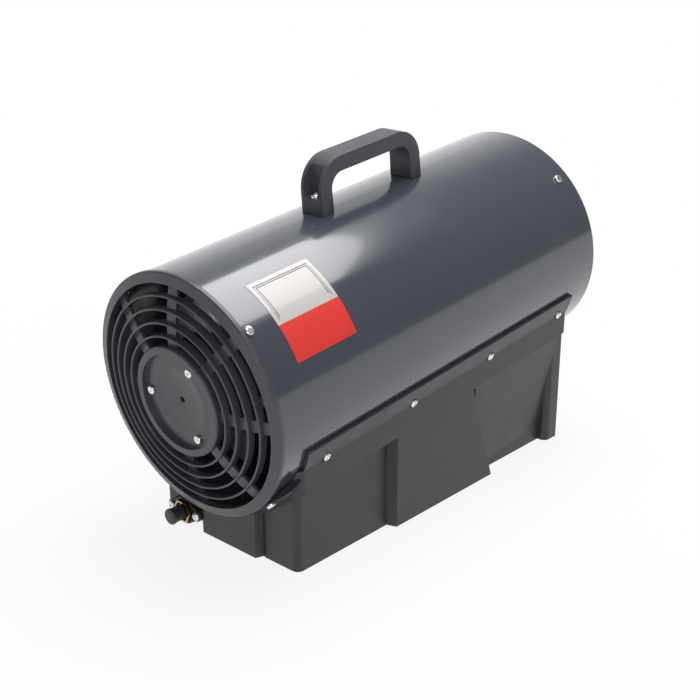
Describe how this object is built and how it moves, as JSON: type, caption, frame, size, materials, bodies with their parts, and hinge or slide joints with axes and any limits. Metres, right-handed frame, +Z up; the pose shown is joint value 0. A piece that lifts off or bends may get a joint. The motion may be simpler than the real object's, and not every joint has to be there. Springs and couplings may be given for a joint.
{
  "type": "gas forced air heater",
  "caption": "Portable gas fan heater: tilted round steel casing on a moulded base, ring guard over the air inlet, carry handle on top, gas inlet with a dust cap.",
  "frame": {"origin": "centre of the base's footprint, on the surface that the heater stands on", "axes": "+X towards the hot air outlet, +Z up, +Y towards the side that holds the controls; the tube's axis lies in the XZ plane and rises 6 degrees towards +X"},
  "size_m": [0.4327, 0.2026, 0.3049],
  "materials": {
    "casing_paint": "blue grey powder coat, satin",
    "black_paint": "black, satin",
    "black_plastic": "black moulding, fine grain",
    "red_plastic": "red, glossy",
    "zinc": "bright zinc plate",
    "motor_steel": "bare lamination steel",
    "heat_steel": "bare heat resistant steel",
    "aluminium": "plain",
    "copper": null,
    "brass": "turned brass",
    "ceramic": "off-white glazed ceramic"
  },
  "bodies": {
    "casing": {"outer_shell": "casing_paint", "base_tub": "black_plastic", "bottom_plate": "black_plastic", "bottom_screws": "zinc", "fan_guard": "black_plastic", "hub_screws": "zinc", "guard_screws": "zinc", "outlet_screws": "zinc", "flange_screws": "zinc", "carry_handle": "black_plastic", "handle_screws": "zinc", "handle_nuts": "zinc", "motor_core": "motor_steel", "motor_windings": "copper", "motor_front_bracket": "aluminium", "motor_rear_bracket": "aluminium", "flame_tube": "heat_steel", "flame_tube_brackets": "heat_steel", "diffuser_disc": "heat_steel", "burner_cup": "heat_steel", "gas_nozzle": "brass", "burner_pipe": "copper", "inlet_pipe": "copper", "thermocouple": "heat_steel", "ignition_electrode": "ceramic", "limit_thermostat": "aluminium", "gas_valve": "brass", "igniter_body": "ceramic", "switch_housing": "black_plastic", "cable_gland": "black_plastic", "gas_inlet_fitting": "brass", "inlet_flange": "black_paint", "inlet_flange_screws": "zinc"},
    "fan": {"motor_shaft": "motor_steel", "fan_impeller": "aluminium", "fan_clip": "zinc"},
    "inlet_cap": {"dust_cap": "black_plastic"},
    "switch": {"switch_rocker": "red_plastic"},
    "igniter": {"igniter_button": "red_plastic"},
    "valve": {"valve_button": "black_plastic"}
  },
  "joints": [
    {"name": "fan_spin", "type": "hinge", "parent": "casing", "child": "fan", "pos_m": [0, 0, 0.157], "axis": [0.9945, 0, 0.1045], "continuous": true},
    {"name": "cap_pull", "type": "slide", "parent": "casing", "child": "inlet_cap", "axis": [-1, 0, 0], "range_m": [0, 0.02]},
    {"name": "switch_rock", "type": "hinge", "parent": "casing", "child": "switch", "pos_m": [-0.144, 0.074, 0.034], "axis": [1, 0, 0], "range_deg": [0, 16]},
    {"name": "igniter_press", "type": "slide", "parent": "casing", "child": "igniter", "axis": [0, -1, 0], "range_m": [0, 0.006], "stiffness_N_per_m": 1500},
    {"name": "valve_press", "type": "slide", "parent": "casing", "child": "valve", "axis": [0, -1, 0], "range_m": [0, 0.005], "stiffness_N_per_m": 1500}
  ]
}
